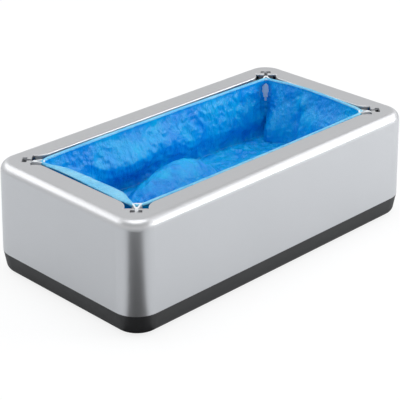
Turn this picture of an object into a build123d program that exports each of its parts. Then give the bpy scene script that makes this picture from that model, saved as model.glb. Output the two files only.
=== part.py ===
from build123d import *
import math
import os

# A foot-operated shoe cover dispenser. Millimetres, +Z up, X along the long side.
# The origin is on the floor, under the middle of the body.

# Outer body
BODY_LENGTH = 420.0
BODY_WIDTH = 223.0
BODY_HEIGHT = 122.8
CORNER_RADIUS = 28.5
FOOT_PROUD = 0.8

# Top shell
SHELL_WALL = 2.5
SHELL_DRAFT = 1.55
TOP_EDGE_RADIUS = 9.6
RIM_AT_END = 32.8
RIM_AT_SIDE = 31.9
LIP_RADIUS = 1.2
SKIRT_DEPTH = 8.0
CORNER_EDGE_LENGTH = 24.5
CORNER_EDGE_INSET = 0.3
FLARE_RADIUS = 16.0

# Base tray
BAND_HEIGHT = 23.2
BASE_TAPER = 9.5
BASE_EDGE_RADIUS = 8.0
BASE_WALL = 3.0
BASE_FLOOR = 3.0
SPIGOT_HEIGHT = 4.0
SPIGOT_WALL = 1.8
SEAT_GAP = 0.2

# Screw columns that tie the shell to the base
COLUMN_END_INSET = 80.0
COLUMN_SIDE_INSET = 15.5
COLUMN_RADIUS = 4.2
SLEEVE_RADIUS = 5.6
SLEEVE_HEIGHT = 6.0
SCREW_RADIUS = 1.4
SCREW_HEAD_RADIUS = 3.0
SCREW_HEAD_HEIGHT = 2.2
SCREW_FIT = 0.05
SHELL_SCREW_LENGTH = 18.0
HEAD_CLEARANCE = 0.4

# Feet
FOOT_RADIUS = 8.0
FOOT_RECESS = 1.2
FOOT_INSET_X = 42.0
FOOT_INSET_Y = 36.0

# T-slots, in the frame of one corner: outward from the opening's corner, and across it
SLOT_START = 4.1
SLOT_END = 9.1
SLOT_HALF = 5.9
STEM_HALF = 1.9

# Guide rails
RAIL_FRONT = 0.6
RAIL_HALF = 8.5
RAIL_BACK = 14.6
BORE_RADIUS = 4.4
BORE_WALL = 1.8
CHANNEL_FLOOR = 4.0
TAB_SLOT_HALF = 1.3
FLANGE_START = 7.0
FLANGE_END = 15.0
FLANGE_HALF = 17.0
FLANGE_THICK = 3.0
FLANGE_LIFT = 4.0
RAIL_SCREW_SPREAD = 13.0
RAIL_SCREW_LENGTH = 7.5
BOSS_RADIUS = 3.6

# T-buckles
HEAD_HALF = 5.5
HEAD_GAP = 0.3
BUCKLE_THICK = 1.4
BUCKLE_PITCH = 1.5
BUCKLE_STEM_HALF = 1.5
BUCKLE_RISE = 4.4
LOOP_START = 2.0
LOOP_END = 14.0
LOOP_HALF = 5.2
LOOP_BAR = 2.4
LOOP_STRAP = 1.7
STACK_COUNT = 14

# Release catches
CATCH_DROP = 30.0
CATCH_ACROSS = 12.2
CATCH_HALF = 2.0
CATCH_HUB = 3.4
CATCH_ARM_IN = 9.2
CATCH_ARM_OUT = 13.0
NOSE_TOP_DROP = 4.0
NOSE_THICK = 1.4
NOSE_BITE = 0.9
TAIL_LENGTH = 14.0
TAIL_HALF = 2.4
TAIL_HUB = 3.0
PIN_RADIUS = 1.5
PIN_FIT = 0.05
CHEEK_THICK = 2.1
CHEEK_GAP = 0.2
CHEEK_REACH = 4.0
CHEEK_HALF = 5.0

# Pull rods
ROD_HALF = 3.5
ROD_THICK = 3.0
ROD_CAP = 4.0
ROD_GAP = 0.3
ROD_SLOT_PLAY = 0.8
ROD_SLOT_FIT = 0.12

# Pushers and their springs
PUSHER_HEIGHT = 14.0
PUSHER_FIT = 0.3
PADDLE_HALF = 5.0
PADDLE_THICK = 5.0
CUP_HEIGHT = 6.0
SPRING_RADIUS = 3.3
SPRING_WIRE = 0.9
SPRING_TURNS = 14

# Pedal plate
PEDAL_UNDERSIDE = 12.0
PEDAL_THICK = 4.0
PEDAL_END_GAP = 8.0
PEDAL_SIDE_INSET = 10.6
PEDAL_CORNER = 10.0
PEDAL_TRAVEL = 3.0
RIB_DEPTH = 2.0
RIB_THICK = 2.0
RIB_COUNT = 5
RIB_INSET = 37.0
GUIDE_INSET = 14.0
GUIDE_SPREAD = 60.0
GUIDE_RADIUS = 2.5
GUIDE_FIT = 0.3
GUIDE_HEAD_RADIUS = 4.5
GUIDE_HEAD_HEIGHT = 2.0
GUIDE_THREAD = 4.0
SPRING_BOSS_RADIUS = 4.0
SPRING_BOSS_CLEARANCE = 1.0
PEDAL_SPRING_RADIUS = 5.4
PEDAL_SPRING_WIRE = 1.2
PEDAL_SPRING_TURNS = 3

# Film cover, its hem and the folded covers
HEM_GAP = 2.2
HEM_WIDTH = 3.6
HEM_HEIGHT = 3.2
HEM_DROP = 1.0
HEM_CORNER_CUT = 13.0
FILM_THICK = 0.8
FILM_GAP = 0.3
FILM_FLOOR = 55.0
FILM_PLEAT = 30.0
FILM_LEVELS = 3
PLEAT_DEPTH = 3.0
FILM_TAPER = 14.0
HUMP_HEIGHT = 34.0
HUMP_X = -28.0
HUMP_Y = 20.0
HUMP_LENGTH = 150.0
HUMP_WIDTH = 66.0
HUMP_RINGS = 3
PACK_END_GAP = 32.2
PACK_SIDE_GAP = 27.6
PACK_LAYERS = 6
PACK_LAYER = 3.0
PACK_STEP = 1.6
PACK_CORNER = 22.0

CORNERS = {
    "back_right": (1, 1),
    "back_left": (-1, 1),
    "front_left": (-1, -1),
    "front_right": (1, -1),
}

# Lengths that follow from the sizes above
OPENING_LENGTH = BODY_LENGTH - 2 * RIM_AT_END
OPENING_WIDTH = BODY_WIDTH - 2 * RIM_AT_SIDE
COLUMN_PITCH = BODY_LENGTH / 2 - COLUMN_END_INSET
COLUMN_OFFSET = BODY_WIDTH / 2 - COLUMN_SIDE_INSET
PEDAL_LENGTH = BODY_LENGTH - 2 * PEDAL_END_GAP
PEDAL_WIDTH = OPENING_WIDTH - 2 * PEDAL_SIDE_INSET
RIB_LENGTH = PEDAL_LENGTH - 2 * RIB_INSET
GUIDE_X = PEDAL_LENGTH / 2 - GUIDE_INSET
GUIDE_Y = GUIDE_SPREAD / 2
PACK_LENGTH = OPENING_LENGTH - 2 * PACK_END_GAP
PACK_WIDTH = OPENING_WIDTH - 2 * PACK_SIDE_GAP

# Levels that follow from the sizes above
UNDERSIDE = FOOT_PROUD
RIM_TOP = UNDERSIDE + BODY_HEIGHT
RIM_UNDER = RIM_TOP - SHELL_WALL
BAND_TOP = UNDERSIDE + BAND_HEIGHT
INNER_FLOOR = UNDERSIDE + BASE_FLOOR
SLEEVE_TOP = INNER_FLOOR + SLEEVE_HEIGHT
FLANGE_BOTTOM = INNER_FLOOR + FLANGE_LIFT
PEDAL_TOP = PEDAL_UNDERSIDE + PEDAL_THICK
SPRING_BOSS_HEIGHT = PEDAL_UNDERSIDE - PEDAL_TRAVEL - SPRING_BOSS_CLEARANCE - INNER_FLOOR
NOSE_TOP = RIM_TOP - NOSE_TOP_DROP
NOSE_BOTTOM = NOSE_TOP - NOSE_THICK
TOP_HEAD = NOSE_BOTTOM - HEAD_GAP - BUCKLE_THICK
STACK_BOTTOM = TOP_HEAD - STACK_COUNT * BUCKLE_PITCH
PUSHER_TOP = STACK_BOTTOM - (BUCKLE_PITCH - BUCKLE_THICK)
PUSHER_BOTTOM = PUSHER_TOP - PUSHER_HEIGHT
PIVOT_Z = RIM_TOP - CATCH_DROP
CHANNEL_BOTTOM = INNER_FLOOR + CHANNEL_FLOOR
TAIL_ACROSS = CATCH_ACROSS + TAIL_LENGTH
CATCH_MID = (SLOT_START + SLOT_END) / 2


def block(x_low, x_high, y_low, y_high, z_low, z_high):
    """A box given by its low and high sides."""
    size = (x_high - x_low, y_high - y_low, z_high - z_low)
    centre = ((x_low + x_high) / 2, (y_low + y_high) / 2, (z_low + z_high) / 2)
    return Pos(*centre) * Box(*size)


def post(x, y, z_low, z_high, radius):
    """An upright round post."""
    return Pos(x, y, (z_low + z_high) / 2) * Cylinder(radius, z_high - z_low)


def cross_pin(x_low, x_high, y, z, radius):
    """A round pin that lies along X."""
    return Pos((x_low + x_high) / 2, y, z) * Rot(0, 90, 0) * Cylinder(radius, x_high - x_low)


def slab(outline, z_low, z_high):
    """A flat outline raised between two levels."""
    return Pos(0, 0, z_low) * extrude(outline, amount=z_high - z_low)


def side_plate(points, y_low, y_high):
    """A plate whose outline is given in X and Z, standing across Y."""
    face = Plane.XZ * make_face(Polyline(*points, close=True))
    return Pos(0, y_high, 0) * extrude(face, amount=y_high - y_low)


def rounded(length, width, radius):
    return RectangleRounded(length, width, radius)


def at_corner(solid):
    """Carries a solid from the corner's own frame to the back right corner."""
    frame = Plane(origin=(OPENING_LENGTH / 2, OPENING_WIDTH / 2, 0), x_dir=(1, 1, 0), z_dir=(0, 0, 1))
    return frame.location * solid


def to_each_corner(solid):
    """The four mirrored copies of a solid made at the back right corner."""
    copies = {}
    for name, (side_x, side_y) in CORNERS.items():
        copy = solid
        if side_x < 0:
            copy = mirror(copy, about=Plane.YZ)
        if side_y < 0:
            copy = mirror(copy, about=Plane.XZ)
        copies[name] = copy
    return copies


def corner_point(outward, across):
    """A point of the corner's own frame, in the body's X and Y."""
    root = math.sqrt(2)
    return (OPENING_LENGTH / 2 + (outward - across) / root, OPENING_WIDTH / 2 + (outward + across) / root)


def opening_outline():
    """The rim's opening: straight sides that flare out to a short edge across each corner."""
    half_x = OPENING_LENGTH / 2
    half_y = OPENING_WIDTH / 2
    long_end = corner_point(-CORNER_EDGE_INSET, CORNER_EDGE_LENGTH / 2)
    short_end = corner_point(-CORNER_EDGE_INSET, -CORNER_EDGE_LENGTH / 2)

    def flare(offset):
        """How far along the side the flare starts, and its middle point's step."""
        angle = math.acos(1 - offset / FLARE_RADIUS)
        run = FLARE_RADIUS * math.sin(angle)
        mid_run = FLARE_RADIUS * math.sin(angle / 2)
        mid_step = FLARE_RADIUS * (1 - math.cos(angle / 2))
        return run, mid_run, mid_step

    run, mid_run, mid_step = flare(long_end[1] - half_y)
    long_start = (long_end[0] - run, half_y)
    long_mid = (long_start[0] + mid_run, half_y + mid_step)
    run, mid_run, mid_step = flare(short_end[0] - half_x)
    short_start = (half_x, short_end[1] - run)
    short_mid = (half_x + mid_step, short_start[1] + mid_run)
    quarter = [
        Line((0, half_y), long_start),
        ThreePointArc(long_start, long_mid, long_end),
        Line(long_end, short_end),
        ThreePointArc(short_end, short_mid, short_start),
        Line(short_start, (half_x, 0)),
        Line((half_x, 0), (0, 0)),
        Line((0, 0), (0, half_y)),
    ]
    face = make_face(quarter)
    half = face + mirror(face, about=Plane.YZ)
    return half + mirror(half, about=Plane.XZ)


def coil_spring(radius, wire, length, turns):
    """A helical spring standing on the plane at zero."""
    path = Helix(pitch=(length - wire) / turns, height=length - wire, radius=radius)
    section = Plane(path @ 0, z_dir=path % 0) * Circle(wire / 2)
    return Pos(0, 0, wire / 2) * sweep(section, path=path, is_frenet=True)


def cross_head_screw(x, y, seat, length, radius, head_radius, head_height, up):
    """A pan-head screw: its head lies on the seat level, above it or below it."""
    drive_width = head_radius * 0.3
    drive_length = head_radius * 1.1
    drive_depth = head_height * 0.5
    head = Pos(0, 0, head_height / 2) * Cylinder(head_radius, head_height)
    head = fillet(head.edges().group_by(Axis.Z)[-1], head_height * 0.3)
    shank = Pos(0, 0, -length / 2) * Cylinder(radius, length)
    drive_z = head_height - drive_depth / 2
    drive = Pos(0, 0, drive_z) * Box(drive_length, drive_width, drive_depth)
    drive += Pos(0, 0, drive_z) * Box(drive_width, drive_length, drive_depth)
    screw = head + shank - drive
    if not up:
        screw = Rot(180, 0, 0) * screw
    return Pos(x, y, seat) * screw


def column_places():
    """The six places where shell and base are screwed together."""
    return [(step * COLUMN_PITCH, side * COLUMN_OFFSET) for step in (-1, 0, 1) for side in (-1, 1)]


def foot_places():
    half_x = BODY_LENGTH / 2 - FOOT_INSET_X
    half_y = BODY_WIDTH / 2 - FOOT_INSET_Y
    return [(side_x * half_x, side_y * half_y) for side_x, side_y in CORNERS.values()]


def guide_places():
    return [(side_x * GUIDE_X, side_y * GUIDE_Y) for side_x, side_y in CORNERS.values()]


def t_slot(z_low, z_high, front):
    """The T-shaped slot at one corner, open towards the well from the given front."""
    cross = block(SLOT_START, SLOT_END, -SLOT_HALF, SLOT_HALF, z_low, z_high)
    stem = block(front, SLOT_START, -STEM_HALF, STEM_HALF, z_low, z_high)
    return cross + stem


def make_top_shell():
    wall_height = RIM_TOP - BAND_TOP
    outline = rounded(BODY_LENGTH, BODY_WIDTH, CORNER_RADIUS)
    outer = Pos(0, 0, BAND_TOP) * extrude(outline, amount=wall_height, taper=SHELL_DRAFT)
    outer = fillet(outer.edges().group_by(Axis.Z)[-1], TOP_EDGE_RADIUS)
    inner_outline = rounded(
        BODY_LENGTH - 2 * SHELL_WALL, BODY_WIDTH - 2 * SHELL_WALL, CORNER_RADIUS - SHELL_WALL
    )
    inner = extrude(inner_outline, amount=wall_height - SHELL_WALL, taper=SHELL_DRAFT)
    inner = Pos(0, 0, BAND_TOP) * fillet(
        inner.edges().group_by(Axis.Z)[-1], TOP_EDGE_RADIUS - SHELL_WALL
    )
    shell = outer - inner

    # the rim's opening, its rounded lip and the skirt that turns down behind the lip
    opening = opening_outline()
    shell -= slab(opening, RIM_UNDER - SHELL_WALL, RIM_TOP + SHELL_WALL)
    lip = shell.edges().filter_by_position(Axis.Z, RIM_TOP - 0.01, RIM_TOP + 0.01)
    lip = [edge for edge in lip if abs(edge.center().X) < OPENING_LENGTH / 2 + FLARE_RADIUS
           and abs(edge.center().Y) < OPENING_WIDTH / 2 + FLARE_RADIUS / 2 + 1]
    shell = fillet(lip, LIP_RADIUS)
    skirt_outline = offset(opening, amount=SHELL_WALL, kind=Kind.INTERSECTION) - opening
    skirt = slab(skirt_outline, RIM_UNDER - SKIRT_DEPTH, RIM_UNDER)
    corner_gap = CORNER_EDGE_LENGTH / 2 + SHELL_WALL
    notch = block(
        -CORNER_EDGE_INSET - SHELL_WALL, BODY_WIDTH / 4, -corner_gap, corner_gap,
        RIM_UNDER - 2 * SKIRT_DEPTH, RIM_UNDER,
    )
    slot = t_slot(RIM_UNDER - 1, RIM_TOP + 1, -CORNER_EDGE_INSET - SHELL_WALL)
    for cutter in to_each_corner(at_corner(notch)).values():
        skirt -= cutter
    shell += skirt
    for cutter in to_each_corner(at_corner(slot)).values():
        shell -= cutter

    # the six columns that take the screws from below
    for x, y in column_places():
        column = post(x, y, SLEEVE_TOP, RIM_UNDER, COLUMN_RADIUS)
        hole_top = SLEEVE_TOP - SLEEVE_HEIGHT + SHELL_SCREW_LENGTH
        shell += column
        shell -= post(x, y, SLEEVE_TOP - 1, hole_top, SCREW_RADIUS + SCREW_FIT)
    return shell


def make_base_tray():
    wide = rounded(BODY_LENGTH, BODY_WIDTH, CORNER_RADIUS)
    outer = Pos(0, 0, BAND_TOP) * extrude(wide, amount=-BAND_HEIGHT, taper=BASE_TAPER)
    outer = fillet(outer.edges().group_by(Axis.Z)[0], BASE_EDGE_RADIUS)
    inner_outline = rounded(
        BODY_LENGTH - 2 * BASE_WALL, BODY_WIDTH - 2 * BASE_WALL, CORNER_RADIUS - BASE_WALL
    )
    inner_depth = BAND_HEIGHT - BASE_FLOOR
    inner = extrude(inner_outline, amount=-inner_depth, taper=BASE_TAPER)
    inner = Pos(0, 0, BAND_TOP) * fillet(
        inner.edges().group_by(Axis.Z)[0], BASE_EDGE_RADIUS - BASE_WALL
    )
    tray = outer - inner

    # a spigot that stands inside the shell's lower edge
    step = SHELL_WALL + SEAT_GAP
    inset = step + SPIGOT_WALL
    lean = SPIGOT_HEIGHT * math.tan(math.radians(SHELL_DRAFT))
    spigot = rounded(
        BODY_LENGTH - 2 * (step + lean), BODY_WIDTH - 2 * (step + lean), CORNER_RADIUS - step - lean
    )
    spigot -= rounded(
        BODY_LENGTH - 2 * (inset + lean), BODY_WIDTH - 2 * (inset + lean), CORNER_RADIUS - inset - lean
    )
    tray += slab(spigot, BAND_TOP - SPIGOT_WALL, BAND_TOP + SPIGOT_HEIGHT)

    # sleeves for the shell's screws, with the heads sunk from below
    for x, y in column_places():
        tray += post(x, y, INNER_FLOOR - 1, SLEEVE_TOP, SLEEVE_RADIUS)
        tray -= post(x, y, UNDERSIDE - 1, SLEEVE_TOP + 1, SCREW_RADIUS + HEAD_CLEARANCE)
        tray -= post(x, y, UNDERSIDE - 1, INNER_FLOOR, SCREW_HEAD_RADIUS + HEAD_CLEARANCE)

    # bosses under the pedal's springs, with a hole for the shoulder screw's thread
    for x, y in guide_places():
        tray += post(x, y, INNER_FLOOR - 1, INNER_FLOOR + SPRING_BOSS_HEIGHT, SPRING_BOSS_RADIUS)
        hole_bottom = INNER_FLOOR + SPRING_BOSS_HEIGHT - GUIDE_THREAD - HEAD_CLEARANCE
        hole_top = INNER_FLOOR + SPRING_BOSS_HEIGHT + 1
        tray -= post(x, y, hole_bottom, hole_top, SCREW_RADIUS + SCREW_FIT)

    # bosses under each rail's flange
    flange_mid = (FLANGE_START + FLANGE_END) / 2
    for across in (-RAIL_SCREW_SPREAD, RAIL_SCREW_SPREAD):
        boss = at_corner(post(flange_mid, across, INNER_FLOOR - 1, FLANGE_BOTTOM, BOSS_RADIUS))
        hole_bottom = FLANGE_BOTTOM + FLANGE_THICK - RAIL_SCREW_LENGTH - HEAD_CLEARANCE
        hole = at_corner(
            post(flange_mid, across, hole_bottom, FLANGE_BOTTOM + 1, SCREW_RADIUS + SCREW_FIT)
        )
        for solid in to_each_corner(boss).values():
            tray += solid
        for solid in to_each_corner(hole).values():
            tray -= solid

    # recesses for the feet
    for x, y in foot_places():
        tray -= post(x, y, UNDERSIDE - 1, UNDERSIDE + FOOT_RECESS, FOOT_RADIUS + SEAT_GAP)
    return tray


def make_feet():
    feet = []
    for x, y in foot_places():
        foot = Pos(x, y, 0) * extrude(Circle(FOOT_RADIUS), amount=FOOT_RECESS + FOOT_PROUD)
        foot = fillet(foot.edges().group_by(Axis.Z)[0], FOOT_PROUD / 2)
        feet.append(foot)
    return Compound(children=feet)


def make_shell_screws():
    return Compound(children=[
        cross_head_screw(
            x, y, INNER_FLOOR, SHELL_SCREW_LENGTH - HEAD_CLEARANCE, SCREW_RADIUS,
            SCREW_HEAD_RADIUS, SCREW_HEAD_HEIGHT, up=False,
        )
        for x, y in column_places()
    ])


def make_rail():
    """One guide rail, in the corner's own frame."""
    rail = block(RAIL_FRONT, RAIL_BACK, -RAIL_HALF, RAIL_HALF, INNER_FLOOR, RIM_UNDER)
    rail += post(RAIL_BACK, 0, INNER_FLOOR, RIM_UNDER, BORE_RADIUS + BORE_WALL)
    flange = block(
        FLANGE_START, FLANGE_END, -FLANGE_HALF, FLANGE_HALF, FLANGE_BOTTOM, FLANGE_BOTTOM + FLANGE_THICK
    )
    flange = fillet(flange.edges().filter_by(Axis.Z), FLANGE_THICK)
    rail += flange

    # cheeks that carry the catch's pin
    catch_low = CATCH_MID - CATCH_HALF - CHEEK_GAP
    catch_high = CATCH_MID + CATCH_HALF + CHEEK_GAP
    cheek_end = -CATCH_ACROSS - CHEEK_REACH
    for start, end in ((catch_low - CHEEK_THICK, catch_low), (catch_high, catch_high + CHEEK_THICK)):
        cheek = block(start, end, cheek_end, -RAIL_HALF + 1, PIVOT_Z - CHEEK_HALF, PIVOT_Z + CHEEK_HALF)
        cheek = fillet(cheek.edges().filter_by(Axis.X).group_by(Axis.Y)[0], CHEEK_REACH - 1)
        rail += cheek

    # the T-shaped channel, the spring's bore and the slot that joins them
    rail -= t_slot(CHANNEL_BOTTOM, RIM_UNDER + 1, RAIL_FRONT - 1)
    rail -= post(RAIL_BACK, 0, CHANNEL_BOTTOM, RIM_UNDER - SHELL_WALL, BORE_RADIUS)
    rail -= block(SLOT_END - 1, RAIL_BACK, -TAB_SLOT_HALF, TAB_SLOT_HALF, CHANNEL_BOTTOM, RIM_UNDER - SHELL_WALL)

    # the window for the catch's nose, the pin's bore and the flange's screw holes
    window_half = CATCH_HALF + ROD_GAP
    rail -= block(
        CATCH_MID - window_half, CATCH_MID + window_half, -RAIL_HALF - 1, -SLOT_HALF + 1,
        NOSE_BOTTOM - BUCKLE_THICK, RIM_UNDER + 1,
    )
    rail -= cross_pin(
        catch_low - CHEEK_THICK - 1, catch_high + CHEEK_THICK + 1, -CATCH_ACROSS, PIVOT_Z,
        PIN_RADIUS + PIN_FIT,
    )
    flange_mid = (FLANGE_START + FLANGE_END) / 2
    for across in (-RAIL_SCREW_SPREAD, RAIL_SCREW_SPREAD):
        rail -= post(
            flange_mid, across, FLANGE_BOTTOM - 1, FLANGE_BOTTOM + FLANGE_THICK + 1,
            SCREW_RADIUS + HEAD_CLEARANCE,
        )
    return rail


def make_rail_screws():
    screws = []
    flange_mid = (FLANGE_START + FLANGE_END) / 2
    for across in (-RAIL_SCREW_SPREAD, RAIL_SCREW_SPREAD):
        screw = cross_head_screw(
            flange_mid, across, FLANGE_BOTTOM + FLANGE_THICK, RAIL_SCREW_LENGTH, SCREW_RADIUS,
            SCREW_HEAD_RADIUS, SCREW_HEAD_HEIGHT, up=True,
        )
        screws += list(to_each_corner(at_corner(screw)).values())
    return Compound(children=screws)


def make_catch():
    """The release catch: an upright arm with a nose, and a tail that the pull rod draws down."""
    low = CATCH_MID - CATCH_HALF
    high = CATCH_MID + CATCH_HALF
    catch = cross_pin(low, high, -CATCH_ACROSS, PIVOT_Z, CATCH_HUB)
    catch += block(low, high, -CATCH_ARM_OUT, -CATCH_ARM_IN, PIVOT_Z, NOSE_TOP)
    nose_tip = -HEAD_HALF + NOSE_BITE
    catch += block(low, high, -CATCH_ARM_OUT, nose_tip, NOSE_BOTTOM, NOSE_TOP)
    catch += block(low, high, -TAIL_ACROSS, -CATCH_ACROSS, PIVOT_Z - TAIL_HALF, PIVOT_Z + TAIL_HALF)
    catch += cross_pin(low, high, -TAIL_ACROSS, PIVOT_Z, TAIL_HUB)
    catch += cross_pin(low - ROD_GAP - ROD_THICK, low + 1, -TAIL_ACROSS, PIVOT_Z, PIN_RADIUS)
    catch -= cross_pin(low - 1, high + 1, -CATCH_ACROSS, PIVOT_Z, PIN_RADIUS + PIN_FIT)
    return catch


def make_catch_pin():
    reach = CATCH_HALF + CHEEK_GAP + CHEEK_THICK
    return cross_pin(CATCH_MID - reach, CATCH_MID + reach, -CATCH_ACROSS, PIVOT_Z, PIN_RADIUS)


def make_pull_rod():
    """A flat bar that stands on the pedal plate, with a slot for the catch's tail pin."""
    high = CATCH_MID - CATCH_HALF - ROD_GAP
    low = high - ROD_THICK
    rod = block(low, high, -TAIL_ACROSS - ROD_HALF, -TAIL_ACROSS + ROD_HALF, PEDAL_TOP, PIVOT_Z + ROD_CAP)
    rod = fillet(rod.edges().filter_by(Axis.X).group_by(Axis.Z)[-1], ROD_HALF - 1)
    slot_half = PIN_RADIUS + ROD_SLOT_FIT
    rod -= block(
        low - 1, high + 1, -TAIL_ACROSS - ROD_SLOT_PLAY, -TAIL_ACROSS + ROD_SLOT_PLAY,
        PIVOT_Z - slot_half, PIVOT_Z + slot_half,
    )
    for end in (-ROD_SLOT_PLAY, ROD_SLOT_PLAY):
        rod -= cross_pin(low - 1, high + 1, -TAIL_ACROSS + end, PIVOT_Z, slot_half)
    hole_top = PEDAL_TOP + 2 * PEDAL_THICK
    rod -= post((low + high) / 2, -TAIL_ACROSS, PEDAL_TOP - 1, hole_top, ROD_THICK / 4 + SCREW_FIT)
    return rod


def rod_centre():
    return CATCH_MID - CATCH_HALF - ROD_GAP - ROD_THICK / 2


def make_rod_screws():
    screw = cross_head_screw(
        rod_centre(), -TAIL_ACROSS, PEDAL_UNDERSIDE, PEDAL_THICK + 2 * PEDAL_THICK - 1, ROD_THICK / 4,
        ROD_THICK * 0.7, RIB_DEPTH * 0.7, up=False,
    )
    return Compound(children=list(to_each_corner(at_corner(screw)).values()))


def make_buckle():
    """A T-buckle in the corner's own frame, its head's underside at zero."""
    thick = BUCKLE_THICK
    head_start = SLOT_START + PUSHER_FIT
    head_end = SLOT_END - PUSHER_FIT
    strip = side_plate([
        (head_end, 0), (head_start, 0), (-LOOP_START, BUCKLE_RISE), (-LOOP_END, BUCKLE_RISE),
        (-LOOP_END, BUCKLE_RISE + thick), (-LOOP_START, BUCKLE_RISE + thick),
        (head_start, thick), (head_end, thick),
    ], -HEAD_HALF, HEAD_HALF)
    outline = Polyline(
        (head_end, HEAD_HALF), (head_start, HEAD_HALF), (head_start, BUCKLE_STEM_HALF),
        (-LOOP_START, BUCKLE_STEM_HALF), (-LOOP_END, LOOP_HALF), (-LOOP_END, -LOOP_HALF),
        (-LOOP_START, -BUCKLE_STEM_HALF), (head_start, -BUCKLE_STEM_HALF),
        (head_start, -HEAD_HALF), (head_end, -HEAD_HALF), close=True,
    )
    window_start = -LOOP_START - 2 * LOOP_STRAP
    window_end = -LOOP_END + LOOP_BAR
    slope = (LOOP_HALF - BUCKLE_STEM_HALF) / (LOOP_END - LOOP_START)

    def window_half(outward):
        return BUCKLE_STEM_HALF + slope * (-outward - LOOP_START) - LOOP_STRAP

    window = Polyline(
        (window_start, window_half(window_start)), (window_end, window_half(window_end)),
        (window_end, -window_half(window_end)), (window_start, -window_half(window_start)),
        close=True,
    )
    plan = make_face(outline) - make_face(window)
    return strip & slab(plan, -1, BUCKLE_RISE + thick + 1)


def make_buckle_stack():
    buckle = make_buckle()
    return [at_corner(Pos(0, 0, TOP_HEAD - (step + 1) * BUCKLE_PITCH) * buckle) for step in range(STACK_COUNT)]


def make_pusher():
    """The T-shaped follower under the stack, with a cup on the spring behind it."""
    top = PUSHER_TOP
    front = SLOT_START + PUSHER_FIT
    back = SLOT_END - PUSHER_FIT
    half = SLOT_HALF - PUSHER_FIT
    stem_half = STEM_HALF - PUSHER_FIT
    paddle_top = top + BUCKLE_RISE
    pusher = block(front, back, -half, half, PUSHER_BOTTOM, top)
    pusher += side_plate([
        (back, top), (front, top), (-LOOP_START, paddle_top), (-LOOP_END + 1, paddle_top),
        (-LOOP_END + 1, paddle_top - PADDLE_THICK), (front, PUSHER_BOTTOM), (back, PUSHER_BOTTOM),
    ], -stem_half, stem_half)
    pusher += block(
        -LOOP_END + 1, -LOOP_START, -PADDLE_HALF, PADDLE_HALF, paddle_top - PADDLE_THICK, paddle_top
    )
    tab_half = TAB_SLOT_HALF - PUSHER_FIT
    cup_top = PUSHER_BOTTOM + CUP_HEIGHT
    pusher += block(back - 1, RAIL_BACK, -tab_half, tab_half, PUSHER_BOTTOM, cup_top)
    pusher += post(RAIL_BACK, 0, PUSHER_BOTTOM, cup_top, BORE_RADIUS - PUSHER_FIT)
    return pusher


def make_pusher_spring():
    length = PUSHER_BOTTOM - CHANNEL_BOTTOM
    return Pos(RAIL_BACK, 0, CHANNEL_BOTTOM) * coil_spring(SPRING_RADIUS, SPRING_WIRE, length, SPRING_TURNS)


def make_pedal_plate():
    outline = rounded(PEDAL_LENGTH, PEDAL_WIDTH, PEDAL_CORNER)
    plate = slab(outline, PEDAL_UNDERSIDE, PEDAL_TOP)
    plate = fillet(plate.edges().group_by(Axis.Z)[-1], RIB_THICK / 2)
    rib_low = PEDAL_UNDERSIDE - RIB_DEPTH
    for index in range(RIB_COUNT):
        x = RIB_LENGTH * (index / (RIB_COUNT - 1) - 0.5)
        plate += block(
            x - RIB_THICK / 2, x + RIB_THICK / 2, -PEDAL_WIDTH / 3, PEDAL_WIDTH / 3, rib_low, PEDAL_UNDERSIDE
        )
    for y in (-PEDAL_WIDTH / 3, PEDAL_WIDTH / 3):
        plate += block(
            -RIB_LENGTH / 2 - RIB_THICK / 2, RIB_LENGTH / 2 + RIB_THICK / 2,
            y - RIB_THICK / 2, y + RIB_THICK / 2, rib_low, PEDAL_UNDERSIDE,
        )
    for x, y in guide_places():
        plate -= post(x, y, rib_low, PEDAL_TOP + 1, GUIDE_RADIUS + GUIDE_FIT)
    hole = at_corner(
        post(rod_centre(), -TAIL_ACROSS, rib_low, PEDAL_TOP + 1, ROD_THICK / 4 + 2 * SCREW_FIT)
    )
    for solid in to_each_corner(hole).values():
        plate -= solid
    return plate


def make_pedal_spring(x, y):
    length = PEDAL_UNDERSIDE - INNER_FLOOR
    spring = coil_spring(PEDAL_SPRING_RADIUS, PEDAL_SPRING_WIRE, length, PEDAL_SPRING_TURNS)
    return Pos(x, y, INNER_FLOOR) * spring


def make_guide_screws():
    """Shoulder screws: thread in the boss, plain shank through the plate, head above it."""
    screws = []
    boss_top = INNER_FLOOR + SPRING_BOSS_HEIGHT
    for x, y in guide_places():
        head_low = PEDAL_TOP + SEAT_GAP
        screw = cross_head_screw(
            x, y, head_low, head_low - boss_top, GUIDE_RADIUS, GUIDE_HEAD_RADIUS, GUIDE_HEAD_HEIGHT, up=True
        )
        screw += post(x, y, boss_top - GUIDE_THREAD, boss_top, SCREW_RADIUS)
        screws.append(screw)
    return Compound(children=screws)


def hem_outline(inset):
    """The mouth of the film cover: a rectangle drawn in to the buckle at each corner."""
    half_x = OPENING_LENGTH / 2 - inset
    half_y = OPENING_WIDTH / 2 - inset
    reach_in = LOOP_END + FILM_GAP + inset - HEM_GAP
    buckle_x = OPENING_LENGTH / 2 - reach_in / math.sqrt(2)
    buckle_y = OPENING_WIDTH / 2 - reach_in / math.sqrt(2)
    step = LOOP_HALF / math.sqrt(2)
    quarter = [
        (half_x, half_y - 2 * HEM_CORNER_CUT),
        (buckle_x + step, buckle_y - step),
        (buckle_x - step, buckle_y + step),
        (half_x - 2 * HEM_CORNER_CUT, half_y),
    ]
    points = quarter
    points = points + [(-x, y) for x, y in reversed(quarter)]
    points = points + [(-x, -y) for x, y in quarter]
    points = points + [(x, -y) for x, y in reversed(quarter)]
    return points


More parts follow.
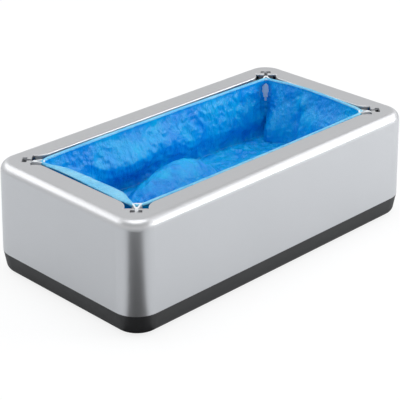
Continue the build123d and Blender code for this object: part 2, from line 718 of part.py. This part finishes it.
def make_hem():
    """The elastic hem as a plain band round the cover's mouth."""
    outer = make_face(Polyline(*hem_outline(HEM_GAP), close=True))
    inner = make_face(Polyline(*hem_outline(HEM_GAP + HEM_WIDTH), close=True))
    top = RIM_TOP - HEM_DROP
    return slab(outer - inner, top - HEM_HEIGHT, top)


def along_outline(points):
    """Points round a closed outline, each with its inward direction and whether it is drawn in."""
    path = []
    for start, end in zip(points, points[1:] + points[:1]):
        length = math.dist(start, end)
        inward_x = (end[1] - start[1]) / length
        inward_y = -(end[0] - start[0]) / length
        if inward_x * start[0] + inward_y * start[1] > 0:
            inward_x, inward_y = -inward_x, -inward_y
        spans = max(1, 2 * round(length / (2 * FILM_PLEAT)))
        for step in range(spans):
            share = step / spans
            x = start[0] + share * (end[0] - start[0])
            y = start[1] + share * (end[1] - start[1])
            path.append((x, y, inward_x, inward_y, step % 2))
    return path


def film_levels(thick):
    """Rings of points from the hem down the walls and in across the floor."""
    top = RIM_TOP - HEM_DROP - HEM_HEIGHT - FILM_GAP
    rings = []
    for level in range(FILM_LEVELS + 1):
        share = level / FILM_LEVELS
        ring = []
        for x, y, inward_x, inward_y, drawn in along_outline(hem_outline(HEM_GAP + HEM_WIDTH / 2)):
            inset = FILM_TAPER * share + PLEAT_DEPTH * drawn * math.sin(math.pi * share) + thick
            z = top + (FILM_FLOOR + thick - top) * share
            ring.append((x + inset * inward_x, y + inset * inward_y, z))
        rings.append(ring)
    # the floor draws in to the foot of the hump and then rises over it
    for step in range(HUMP_RINGS):
        share = 1 - step / HUMP_RINGS
        rise = HUMP_HEIGHT * math.cos(math.pi / 2 * share)
        ring = []
        for x, y, z in rings[FILM_LEVELS]:
            angle = math.atan2(y - HUMP_Y, x - HUMP_X)
            at_x = HUMP_X + share * HUMP_LENGTH / 2 * math.cos(angle)
            at_y = HUMP_Y + share * HUMP_WIDTH / 2 * math.sin(angle)
            ring.append((at_x, at_y, FILM_FLOOR + rise + thick))
        rings.append(ring)
    return rings


def facet(*corners):
    return Face(Wire.make_polygon([Vector(*point) for point in corners], close=True))


def make_film():
    """The open shoe cover: a thin pleated bag, closed below and open at its mouth."""
    outer = film_levels(0)
    inner = film_levels(FILM_THICK)
    count = len(outer[0])
    faces = []
    for skin in (outer, inner):
        centre = (HUMP_X, HUMP_Y, skin[FILM_LEVELS][0][2] + HUMP_HEIGHT)
        for index in range(count):
            after = (index + 1) % count
            for upper, lower in zip(skin, skin[1:]):
                faces.append(facet(upper[index], upper[after], lower[after]))
                faces.append(facet(upper[index], lower[after], lower[index]))
            faces.append(facet(skin[-1][index], skin[-1][after], centre))
    for index in range(count):
        after = (index + 1) % count
        faces.append(facet(outer[0][index], outer[0][after], inner[0][after]))
        faces.append(facet(outer[0][index], inner[0][after], inner[0][index]))
    return Solid(Shell(faces))


def make_folded_covers():
    """The covers that wait on the pedal plate, as one pack of folded film."""
    pack = None
    for layer in range(PACK_LAYERS):
        inset = PACK_STEP * (layer % 2) + layer * PACK_STEP / 2
        low = PEDAL_TOP + layer * PACK_LAYER
        sheet = slab(
            rounded(PACK_LENGTH - 2 * inset, PACK_WIDTH - 2 * inset, PACK_CORNER - inset), low, low + PACK_LAYER
        )
        pack = sheet if pack is None else pack + sheet
    return pack


def save(shape, name):
    shape.label = name
    export_step(shape, os.path.join("parts", name + ".step"))


def main():
    os.makedirs("parts", exist_ok=True)
    save(make_top_shell(), "top_shell")
    save(make_base_tray(), "base_tray")
    save(make_feet(), "rubber_feet")
    save(make_shell_screws(), "shell_screws")
    save(make_rail_screws(), "rail_screws")
    save(make_pedal_plate(), "pedal_plate")
    save(make_rod_screws(), "rod_screws")
    save(make_guide_screws(), "pedal_guide_screws")
    save(make_hem(), "elastic_hem")
    save(make_film(), "shoe_cover_film")
    save(make_folded_covers(), "folded_covers")
    per_corner = {
        "guide_rail": make_rail(),
        "pusher": make_pusher(),
        "pusher_spring": make_pusher_spring(),
        "release_catch": make_catch(),
        "catch_pin": make_catch_pin(),
        "pull_rod": make_pull_rod(),
        "top_buckle": Pos(0, 0, TOP_HEAD) * make_buckle(),
    }
    for kind, solid in per_corner.items():
        for corner, copy in to_each_corner(at_corner(solid)).items():
            save(copy, kind + "_" + corner)
    stack = [to_each_corner(buckle) for buckle in make_buckle_stack()]
    for corner, (side_x, side_y) in CORNERS.items():
        save(Compound(children=[copies[corner] for copies in stack]), "buckle_stack_" + corner)
        save(make_pedal_spring(side_x * GUIDE_X, side_y * GUIDE_Y), "pedal_spring_" + corner)


main()
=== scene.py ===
import math

import bpy
from mathutils import Matrix, Vector, noise


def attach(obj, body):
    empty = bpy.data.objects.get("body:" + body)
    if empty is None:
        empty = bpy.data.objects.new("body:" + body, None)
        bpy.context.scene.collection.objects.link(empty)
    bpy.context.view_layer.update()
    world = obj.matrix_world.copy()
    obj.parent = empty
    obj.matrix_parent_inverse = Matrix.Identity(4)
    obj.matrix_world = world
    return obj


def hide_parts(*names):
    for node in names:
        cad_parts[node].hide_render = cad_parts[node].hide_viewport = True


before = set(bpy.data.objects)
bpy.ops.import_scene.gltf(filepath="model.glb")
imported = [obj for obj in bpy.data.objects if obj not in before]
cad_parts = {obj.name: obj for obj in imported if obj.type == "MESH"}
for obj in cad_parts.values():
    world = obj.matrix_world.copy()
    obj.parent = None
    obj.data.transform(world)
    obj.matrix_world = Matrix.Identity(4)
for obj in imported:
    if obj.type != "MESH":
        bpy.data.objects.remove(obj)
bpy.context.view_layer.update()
MM = 0.001

# The camera as it stood for the photograph: radians, metres and pixels
CAMERA_YAW, CAMERA_PITCH, CAMERA_ROLL = -0.7851, 0.4480, 0.0019
CAMERA_DISTANCE = 1.5134526
CAMERA_SHIFT_RIGHT, CAMERA_SHIFT_UP = -0.0086956, -0.015362
CAMERA_TARGET = (0, 0, 0.0622244)
FOCAL_PIXELS = 1393.1769
IMAGE_PIXELS = 400
SENSOR_WIDTH = 36


def add_camera():
    """Places the camera of the photograph."""
    yaw, pitch, roll = CAMERA_YAW, CAMERA_PITCH, CAMERA_ROLL
    ahead = Vector((-math.sin(yaw) * math.cos(pitch), math.cos(yaw) * math.cos(pitch), -math.sin(pitch)))
    level = ahead.cross(Vector((0, 0, 1))).normalized()
    above = level.cross(ahead)
    right = math.cos(roll) * level + math.sin(roll) * above
    up = math.cos(roll) * above - math.sin(roll) * level
    data = bpy.data.cameras.new("camera")
    data.sensor_width = SENSOR_WIDTH
    data.lens = FOCAL_PIXELS / IMAGE_PIXELS * SENSOR_WIDTH
    camera = bpy.data.objects.new("camera", data)
    bpy.context.scene.collection.objects.link(camera)
    place = Vector(CAMERA_TARGET) - ahead * CAMERA_DISTANCE
    place = place + right * CAMERA_SHIFT_RIGHT + up * CAMERA_SHIFT_UP
    rows = [(right[i], up[i], -ahead[i], place[i]) for i in range(3)] + [(0, 0, 0, 1)]
    camera.matrix_world = Matrix(rows)
    bpy.context.scene.camera = camera


# Materials

# Where most of a noise texture's values lie
NOISE_LOW, NOISE_HIGH = 0.3, 0.7


def new_material(name):
    """A material with its node tree, links and shader."""
    material = bpy.data.materials.new(name)
    material.use_nodes = True
    nodes = material.node_tree.nodes
    return material, nodes, material.node_tree.links, nodes["Principled BSDF"]


def add_noise(nodes, links, scale, detail, stretch=(1, 1, 1), rough=0.5):
    """Noise in object coordinates, so that it stays on the object."""
    where = nodes.new("ShaderNodeTexCoord")
    mapping = nodes.new("ShaderNodeMapping")
    mapping.inputs["Scale"].default_value = stretch
    texture = nodes.new("ShaderNodeTexNoise")
    texture.inputs["Scale"].default_value = scale
    texture.inputs["Detail"].default_value = detail
    texture.inputs["Roughness"].default_value = rough
    links.new(where.outputs["Object"], mapping.inputs["Vector"])
    links.new(mapping.outputs["Vector"], texture.inputs["Vector"])
    return texture


def add_ramp(nodes, links, source, low, high, colours):
    """Turns a noise value into a colour between two."""
    ramp = nodes.new("ShaderNodeValToRGB")
    ramp.color_ramp.elements[0].position = low
    ramp.color_ramp.elements[1].position = high
    ramp.color_ramp.elements[0].color = (*colours[0], 1)
    ramp.color_ramp.elements[1].color = (*colours[1], 1)
    links.new(source, ramp.inputs["Fac"])
    return ramp


def add_range(nodes, links, source, low, high):
    """Maps a noise value to a range, for a roughness."""
    spread = nodes.new("ShaderNodeMapRange")
    spread.inputs["From Min"].default_value = NOISE_LOW
    spread.inputs["From Max"].default_value = NOISE_HIGH
    spread.inputs["To Min"].default_value = low
    spread.inputs["To Max"].default_value = high
    links.new(source, spread.inputs["Value"])
    return spread


def add_bump(nodes, links, source, strength, distance, before=None):
    """Bump from a height, on top of an earlier bump where one is given."""
    bump = nodes.new("ShaderNodeBump")
    bump.inputs["Strength"].default_value = strength
    bump.inputs["Distance"].default_value = distance
    links.new(source, bump.inputs["Height"])
    if before is not None:
        links.new(before.outputs["Normal"], bump.inputs["Normal"])
    return bump


def plastic(name, colour, roughness, grain, grain_depth, metallic=0.0, mottle=0.04):
    """Moulded plastic or paint: slight mottle in its colour, varied gloss and a fine grain."""
    material, nodes, links, shader = new_material(name)
    shader.inputs["Metallic"].default_value = metallic
    cloud = add_noise(nodes, links, 9, 3)
    dark = tuple(c * (1 - mottle) for c in colour)
    light = tuple(min(1, c * (1 + mottle)) for c in colour)
    ramp = add_ramp(nodes, links, cloud.outputs["Fac"], NOISE_LOW, NOISE_HIGH, (dark, light))
    links.new(ramp.outputs["Color"], shader.inputs["Base Color"])
    spread = add_range(nodes, links, cloud.outputs["Fac"], roughness * 0.92, roughness * 1.08)
    links.new(spread.outputs["Result"], shader.inputs["Roughness"])
    fine = add_noise(nodes, links, grain, 2)
    bump = add_bump(nodes, links, fine.outputs["Fac"], 0.25, grain_depth)
    links.new(bump.outputs["Normal"], shader.inputs["Normal"])
    return material


def metal(name, colour, roughness):
    """Plated or bare steel with a drawn grain."""
    material, nodes, links, shader = new_material(name)
    shader.inputs["Metallic"].default_value = 1.0
    grain = add_noise(nodes, links, 600, 3, stretch=(1, 1, 4))
    worn = tuple(c * 0.86 for c in colour)
    ramp = add_ramp(nodes, links, grain.outputs["Fac"], NOISE_LOW, NOISE_HIGH, (worn, colour))
    links.new(ramp.outputs["Color"], shader.inputs["Base Color"])
    spread = add_range(nodes, links, grain.outputs["Fac"], roughness * 0.8, roughness * 1.25)
    links.new(spread.outputs["Result"], shader.inputs["Roughness"])
    bump = add_bump(nodes, links, grain.outputs["Fac"], 0.2, 0.0001)
    links.new(bump.outputs["Normal"], shader.inputs["Normal"])
    return material


def film_material(name, colour, painted_shade_colour, through):
    """Thin crinkled polythene: coloured, with painted shade in random patches of a darker blue, partly
    see-through, with sharp small glints.
    """
    material, nodes, links, shader = new_material(name)
    cloud = add_noise(nodes, links, 45, 4, stretch=(1, 1, 0.5))
    # painted shade: noise mixes a darker, deeper blue into the film's colour in random patches, also in
    # the light it lets through
    ramp = add_ramp(nodes, links, cloud.outputs["Fac"], 0.35, 0.68, (painted_shade_colour, colour))
    links.new(ramp.outputs["Color"], shader.inputs["Base Color"])
    shader.inputs["Roughness"].default_value = 0.22
    crease = add_noise(nodes, links, 170, 5, stretch=(1, 1, 0.35), rough=0.62)
    crumple = nodes.new("ShaderNodeTexVoronoi")
    crumple.feature = "DISTANCE_TO_EDGE"
    crumple.inputs["Scale"].default_value = 120
    mapping = crease.inputs["Vector"].links[0].from_node
    links.new(mapping.outputs["Vector"], crumple.inputs["Vector"])
    bump = add_bump(nodes, links, crumple.outputs["Distance"], 0.4, 0.002)
    bump = add_bump(nodes, links, crease.outputs["Fac"], 0.9, 0.003, before=bump)
    links.new(bump.outputs["Normal"], shader.inputs["Normal"])
    translucent = nodes.new("ShaderNodeBsdfTranslucent")
    links.new(ramp.outputs["Color"], translucent.inputs["Color"])
    links.new(bump.outputs["Normal"], translucent.inputs["Normal"])
    mix = nodes.new("ShaderNodeMixShader")
    mix.inputs["Fac"].default_value = through
    links.new(shader.outputs["BSDF"], mix.inputs[1])
    links.new(translucent.outputs["BSDF"], mix.inputs[2])
    links.new(mix.outputs["Shader"], nodes["Material Output"].inputs["Surface"])
    return material


def dress(material, *prefixes):
    """Gives a material to every CAD node whose name starts with one of the prefixes."""
    for name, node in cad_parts.items():
        if name.startswith(prefixes):
            for slot in node.material_slots:
                slot.material = material


# Mesh helpers


def build_mesh(name, rows, faces, material):
    """A smooth piece from points in millimetres."""
    mesh = bpy.data.meshes.new(name)
    mesh.from_pydata([tuple(c * MM for c in point) for point in rows], [], faces)
    mesh.validate()
    mesh.update()
    mesh.polygons.foreach_set("use_smooth", [True] * len(mesh.polygons))
    piece = bpy.data.objects.new(name, mesh)
    bpy.context.scene.collection.objects.link(piece)
    mesh.materials.append(material)
    return piece


def wrap_faces(rings, count):
    """Quads between closed rings of points."""
    faces = []
    for ring in range(rings - 1):
        for index in range(count):
            after = (index + 1) % count
            low = ring * count
            faces.append((low + index, low + after, low + count + after, low + count + index))
    return faces


def smoothstep(low, high, value):
    """Rises softly from 0 at low to 1 at high, also where high is the smaller."""
    share = min(1.0, max(0.0, (value - low) / (high - low)))
    return share * share * (3 - 2 * share)


# The cover: the inner edge of its hem, as x, y and the height of its top, from the near corner

HEM_LINE = [
    (-168.2, -69.8, 122.4), (-160.0, -71.2, 122.0), (-90.0, -72.0, 121.6), (25.0, -72.2, 121.4),
    (117.0, -71.4, 121.6), (160.0, -71.4, 122.0), (168.8, -70.0, 122.6),
    (170.6, -60.0, 123.4), (171.8, -30.0, 124.2), (173.0, 10.0, 124.8), (171.6, 38.0, 124.2),
    (169.2, 60.0, 123.4), (168.0, 70.4, 123.0),
    (158.0, 71.6, 122.8), (27.0, 73.6, 123.0), (-90.0, 73.8, 123.0), (-158.0, 72.8, 122.8),
    (-168.2, 70.4, 122.6),
    (-169.0, 58.0, 122.6), (-167.6, 44.0, 122.8), (-168.4, 15.0, 122.6), (-169.4, -15.0, 122.4),
    (-170.4, -48.0, 122.2), (-169.4, -60.0, 122.4),
]
# How far the slack hem of the left end lies over the well: y and width
FLAP = [
    (-66, 0), (-60, 4), (-47, 11), (-37, 14), (-23, 14), (-5, 13),
    (15, 11), (37, 9), (50, 5), (62, 1), (66, 0),
]
FLAP_FROM_X = -150
FLAP_DROP = 0.12
# The gathered band, in millimetres, and how finely it is divided
HEM_WIDTH = 4.4
HEM_THICKNESS = 3.6
HEM_COUNT = 1800
HEM_SIDES = 12
# The hanging film and the hump that its slack floor makes
FILM_COUNT = 600
WALL_RINGS = 64
FLOOR_RINGS = 48
FILM_FLOOR = 56.0
FILM_TAPER = 12.0
HEM_OVERLAP = 0.4
# Half the length of the line at mid-width that the floor's rings close on
SPINE_HALF = 110.0
HUMP_X, HUMP_Y = -28.0, 20.0
HUMP_HALF_LENGTH, HUMP_HALF_WIDTH = 75.0, 33.0
HUMP_HEIGHT = 34.0


def between(table, value):
    """Reads a table of pairs by straight lines."""
    if value <= table[0][0]:
        return table[0][1]
    for (at, low), (to, high) in zip(table, table[1:]):
        if value <= to:
            return low + (high - low) * (value - at) / (to - at)
    return table[-1][1]


def sample_line(points, count):
    """Evenly spaced points round a closed line."""
    closed = [Vector(p) for p in points] + [Vector(points[0])]
    lengths = [(b - a).length for a, b in zip(closed, closed[1:])]
    step = sum(lengths) / count
    samples, edge, done = [], 0, 0.0
    for index in range(count):
        target = step * index
        while target > done + lengths[edge]:
            done += lengths[edge]
            edge += 1
        samples.append(closed[edge].lerp(closed[edge + 1], (target - done) / lengths[edge]))
    return samples


def soften(samples, passes):
    """Rounds a closed line off a little with each pass."""
    for _ in range(passes):
        before = samples[-1:] + samples[:-1]
        after = samples[1:] + samples[:1]
        samples = [(a + 2 * b + c) / 4 for a, b, c in zip(before, samples, after)]
    return samples


def inward_ways(samples):
    """The level direction into the well at each point of a line."""
    ways = []
    for before, after in zip(samples[-1:] + samples[:-1], samples[1:] + samples[:1]):
        run = after - before
        ways.append(Vector((-run.y, run.x, 0)).normalized())
    return ways


def slack(point):
    """How far the slack film of the left end lies over the well."""
    return between(FLAP, point.y) if point.x < FLAP_FROM_X else 0.0


def make_hem(material):
    """The elastic hem: a gathered band round the mouth, slack and wide at the left end."""
    line = soften(sample_line(HEM_LINE, HEM_COUNT), 9)
    ways = soften(inward_ways(line), 6)
    rows = []
    for side in range(HEM_SIDES):
        angle = 2 * math.pi * side / HEM_SIDES
        for index, (point, way) in enumerate(zip(line, ways)):
            extra = slack(point)
            gather = noise.noise(Vector((index * 0.3, side * 0.15, 0)))
            lump = noise.noise(Vector((index * 0.03, 4.2, side * 0.1)))
            across = (HEM_WIDTH + extra) / 2
            thick = HEM_THICKNESS / 2 * (1 + 0.16 * gather + 0.14 * lump) * (1 - 0.02 * extra)
            out = across * math.cos(angle)
            inward = out + across - HEM_WIDTH
            loose = min(1.0, extra / 6)
            wave = 0.5 * noise.noise(Vector((index * 0.02, out * 0.12, 7.0)))
            rise = thick * (math.sin(angle) - 1) + (wave - FLAP_DROP * inward) * loose
            rows.append(point + way * inward + Vector((0, 0, rise)))
    faces = wrap_faces(HEM_SIDES, HEM_COUNT)
    last = (HEM_SIDES - 1) * HEM_COUNT
    for index in range(HEM_COUNT):
        after = (index + 1) % HEM_COUNT
        faces.append((last + index, last + after, after, index))
    piece = build_mesh("cover_hem", rows, faces, material)
    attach(piece, "housing")
    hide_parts("elastic_hem")
    return piece


def ridged(point, octaves, scale):
    """Sharp creases, as in stiff thin film."""
    value, weight, size = 0.0, 1.0, scale
    for octave in range(octaves):
        value += weight * (1 - 2 * abs(noise.noise(point * size + Vector((octave * 9.1, 0, 0)))))
        weight *= 0.5
        size *= 2.1
    return value


def crumple(point, depth):
    """Small creases of the film, in millimetres."""
    upright = Vector((point.x, point.y, point.z * 0.25))
    slanted = Vector((point.x + 0.35 * point.z, point.y + 0.35 * point.z, point.z * 0.55))
    wide = Vector((point.x, point.y, point.z * 0.6))
    pleats = 0.55 * ridged(upright, 2, 0.13) * math.exp(-depth / 14)
    fine = 1.5 * ridged(slanted + Vector((31, 5, 2)), 3, 0.085) * smoothstep(1, 12, depth)
    broad = 5 * noise.noise(wide * 0.03) * smoothstep(6, 36, depth)
    return pleats + fine + broad


def bump_at(point, centre, spread):
    """A soft round weight that is 1 at its centre."""
    return math.exp(-sum(((a - b) / c) ** 2 for a, b, c in zip(point, centre, spread)))


def big_folds(point, depth):
    """The large folds that the photograph shows, in millimetres into the well."""
    out = 0.0
    if point.x > 120:
        # the far corner tucks back, beside a bulge of the right end's film
        out -= 7 * bump_at(point, (166, 70, 85), (10, 8, 45)) * smoothstep(2, 10, depth)
        out += 16 * bump_at(point, (168, 48, 70), (30, 15, 28))
        # the tent: a panel below a crease that runs down from its top
        if point.y < 14:
            crease = 109 + (14 - point.y) * 0.09
            panel = smoothstep(0, 24, crease - point.z) * smoothstep(-70, -40, point.y)
            out += 9 * panel * smoothstep(16, 8, point.y)
        out += 6 * bump_at(point, (170, 12, 107), (30, 6, 7))
    if point.y > 55:
        # the far wall sags inward at half its height and draws back below
        out += 8 * math.exp(-((point.x + 40) / 95) ** 2 - ((point.z - 91) / 13) ** 2)
        out -= 9 * smoothstep(80, 60, point.z)
    return out


def make_film(material):
    """The open cover: crinkled walls that hang from the hem, and a floor with a hump."""
    line = soften(sample_line(HEM_LINE, FILM_COUNT), 2)
    ways = soften(inward_ways(line), 4)
    rows = []
    for ring in range(WALL_RINGS):
        share = ring / (WALL_RINGS - 1)
        for point, way in zip(line, ways):
            over = slack(point)
            top = point.z - HEM_THICKNESS / 2 - FLAP_DROP * over
            depth = share * (top - FILM_FLOOR)
            lean = over * (1 - 0.8 * smoothstep(0.05, 0.7, share))
            base = point + way * (FILM_TAPER * share ** 1.3 + lean - HEM_OVERLAP)
            base.z = top - depth
            off = crumple(base, depth) + big_folds(base, depth)
            rows.append(base + way * off)
    edge = rows[-FILM_COUNT:]
    for ring in range(1, FLOOR_RINGS + 1):
        share = ring / FLOOR_RINGS
        for foot in edge:
            spine = Vector((max(-SPINE_HALF, min(SPINE_HALF, foot.x)), 0, 0))
            at = foot.lerp(spine, share)
            dx = (at.x - HUMP_X) / HUMP_HALF_LENGTH
            dy = (at.y - HUMP_Y) / HUMP_HALF_WIDTH
            dome = HUMP_HEIGHT * math.cos(math.pi / 2 * min(1.0, math.hypot(dx, dy))) ** 0.9
            flat = Vector((at.x, at.y, 40))
            rough = ridged(flat, 3, 0.07) * 2.0 + noise.noise(flat * 0.02) * 4
            rows.append(Vector((at.x, at.y, FILM_FLOOR + dome + rough * smoothstep(0, 0.15, share))))
    faces = wrap_faces(WALL_RINGS + FLOOR_RINGS, FILM_COUNT)
    piece = build_mesh("cover_film", rows, faces, material)
    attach(piece, "housing")
    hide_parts("shoe_cover_film")
    return piece


# Stage

LAMP_AIM_HEIGHT = 0.08


def add_world():
    """Even studio light, with a white wall that metal shows up to the height of the lamps."""
    world = bpy.data.worlds.new("studio")
    bpy.context.scene.world = world
    world.use_nodes = True
    nodes = world.node_tree.nodes
    links = world.node_tree.links
    nodes["Background"].inputs["Color"].default_value = (0.95, 0.975, 1.0, 1)
    nodes["Background"].inputs["Strength"].default_value = 0.5
    white = nodes.new("ShaderNodeBackground")
    white.inputs["Color"].default_value = (1, 1, 1, 1)
    path = nodes.new("ShaderNodeLightPath")
    shown = nodes.new("ShaderNodeMath")
    shown.operation = "MAXIMUM"
    links.new(path.outputs["Is Camera Ray"], shown.inputs[0])
    links.new(path.outputs["Is Transmission Ray"], shown.inputs[1])
    where = nodes.new("ShaderNodeTexCoord")
    split = nodes.new("ShaderNodeSeparateXYZ")
    links.new(where.outputs["Generated"], split.inputs["Vector"])
    height = nodes.new("ShaderNodeMapRange")
    height.interpolation_type = "SMOOTHSTEP"
    height.inputs["From Min"].default_value = 0.56
    height.inputs["From Max"].default_value = 0.64
    height.inputs["To Min"].default_value = 1.0
    height.inputs["To Max"].default_value = 0.6
    links.new(split.outputs["Z"], height.inputs["Value"])
    wall = nodes.new("ShaderNodeBackground")
    links.new(height.outputs["Result"], wall.inputs["Strength"])
    gloss = nodes.new("ShaderNodeMixShader")
    links.new(path.outputs["Is Glossy Ray"], gloss.inputs["Fac"])
    links.new(nodes["Background"].outputs["Background"], gloss.inputs[1])
    links.new(wall.outputs["Background"], gloss.inputs[2])
    mix = nodes.new("ShaderNodeMixShader")
    links.new(shown.outputs["Value"], mix.inputs["Fac"])
    links.new(gloss.outputs["Shader"], mix.inputs[1])
    links.new(white.outputs["Background"], mix.inputs[2])
    links.new(mix.outputs["Shader"], nodes["World Output"].inputs["Surface"])


def add_floor():
    """A pale floor that the camera sees nearly white, with the object's shadow on it."""
    mesh = bpy.data.meshes.new("floor")
    half = 6
    corners = [(-half, -half, 0), (half, -half, 0), (half, half, 0), (-half, half, 0)]
    mesh.from_pydata(corners, [], [(0, 1, 2, 3)])
    floor = bpy.data.objects.new("floor", mesh)
    bpy.context.scene.collection.objects.link(floor)
    material, nodes, links, shader = new_material("floor")
    shader.inputs["Base Color"].default_value = (0.86, 0.87, 0.88, 1)
    shader.inputs["Roughness"].default_value = 0.9
    glow = nodes.new("ShaderNodeEmission")
    glow.inputs["Strength"].default_value = 1.06
    path = nodes.new("ShaderNodeLightPath")
    share = nodes.new("ShaderNodeMath")
    share.operation = "MULTIPLY"
    share.inputs[1].default_value = 0.78
    links.new(path.outputs["Is Camera Ray"], share.inputs[0])
    mix = nodes.new("ShaderNodeMixShader")
    links.new(share.outputs["Value"], mix.inputs["Fac"])
    links.new(shader.outputs["BSDF"], mix.inputs[1])
    links.new(glow.outputs["Emission"], mix.inputs[2])
    links.new(mix.outputs["Shader"], nodes["Material Output"].inputs["Surface"])
    mesh.materials.append(material)


def add_flags():
    """Black cards on the floor off two corners, which only reflections show."""
    material, nodes, links, shader = new_material("flag")
    shader.inputs["Base Color"].default_value = (0.004, 0.004, 0.004, 1)
    shader.inputs["Roughness"].default_value = 1.0
    shader.inputs["Specular IOR Level"].default_value = 0.0
    half_angle, reach, height = math.radians(28), 0.5, 0.002
    points, faces = [], []
    for sign_x, sign_y in ((-1, -1), (1, 1)):
        apex = Vector((0.17 * sign_x, 0.075 * sign_y, height))
        middle = math.atan2(sign_y, sign_x)
        first = len(points)
        points.append(apex)
        for turn in (-half_angle, half_angle):
            way = Vector((math.cos(middle + turn), math.sin(middle + turn), 0))
            points.append(apex + way * reach)
        faces.append((first, first + 1, first + 2))
    mesh = bpy.data.meshes.new("flags")
    mesh.from_pydata(points, [], faces)
    flags = bpy.data.objects.new("flags", mesh)
    bpy.context.scene.collection.objects.link(flags)
    mesh.materials.append(material)
    flags.visible_camera = False
    flags.visible_diffuse = False
    flags.visible_transmission = False
    flags.visible_shadow = False


def add_softbox(name, place, width, height, watts):
    """A rectangular soft light that faces the object."""
    data = bpy.data.lights.new(name, "AREA")
    data.shape = "RECTANGLE"
    data.size = width
    data.size_y = height
    data.energy = watts
    lamp = bpy.data.objects.new(name, data)
    bpy.context.scene.collection.objects.link(lamp)
    lamp.location = place
    aim = Vector((0, 0, LAMP_AIM_HEIGHT)) - Vector(place)
    lamp.rotation_euler = aim.to_track_quat("-Z", "Y").to_euler()


def add_lights():
    """A lamp overhead, one along each side for the rim's edges, and a low one into the well."""
    add_softbox("light_overhead", (0.0, 0.0, 1.8), 1.2, 1.2, 10)
    add_softbox("light_right", (1.1, -0.5, 1.02), 1.5, 0.7, 5.4)
    add_softbox("light_left", (-0.5, 1.1, 1.02), 1.5, 0.7, 5.4)
    add_softbox("light_low_right", (1.35, -1.5, 0.7), 0.8, 0.4, 11)


add_camera()
add_world()
add_floor()
add_flags()
add_lights()

SILVER = plastic("satin_silver", (0.605, 0.612, 0.628), 0.37, 900, 0.00006, metallic=0.9, mottle=0.012)
BLACK = plastic("black_plastic", (0.02, 0.02, 0.021), 0.5, 1400, 0.0001)
GREY = plastic("grey_plastic", (0.2, 0.205, 0.215), 0.5, 1400, 0.0001)
WHITE = plastic("white_plastic", (0.86, 0.88, 0.9), 0.32, 500, 0.00005)
RUBBER = plastic("rubber", (0.02, 0.02, 0.02), 0.75, 1600, 0.0002)
STEEL = metal("plated_steel", (0.62, 0.63, 0.65), 0.3)
SPRING = metal("spring_steel", (0.45, 0.45, 0.47), 0.35)
# The second colour of each film is painted shade: a darker blue that noise mixes in
FILM = film_material("blue_film", (0.0, 0.56, 1.0), (0.0, 0.36, 0.95), 0.12)
FOLDED = film_material("folded_film", (0.0, 0.35, 0.85), (0.0, 0.18, 0.65), 0.2)
HEM = film_material("hem_film", (0.32, 0.78, 1.0), (0.14, 0.62, 0.98), 0.1)

dress(SILVER, "top_shell")
dress(BLACK, "base_tray", "pedal_plate", "pull_rod_", "release_catch_")
dress(GREY, "guide_rail_")
dress(WHITE, "top_buckle_", "buckle_stack_", "pusher_front", "pusher_back")
dress(RUBBER, "rubber_feet")
dress(STEEL, "shell_screws", "rail_screws", "rod_screws", "pedal_guide_screws", "catch_pin_")
dress(SPRING, "pusher_spring_", "pedal_spring_")
dress(FOLDED, "folded_covers")

hem = make_hem(HEM)
film = make_film(FILM)

bpy.context.scene.view_settings.view_transform = "Standard"
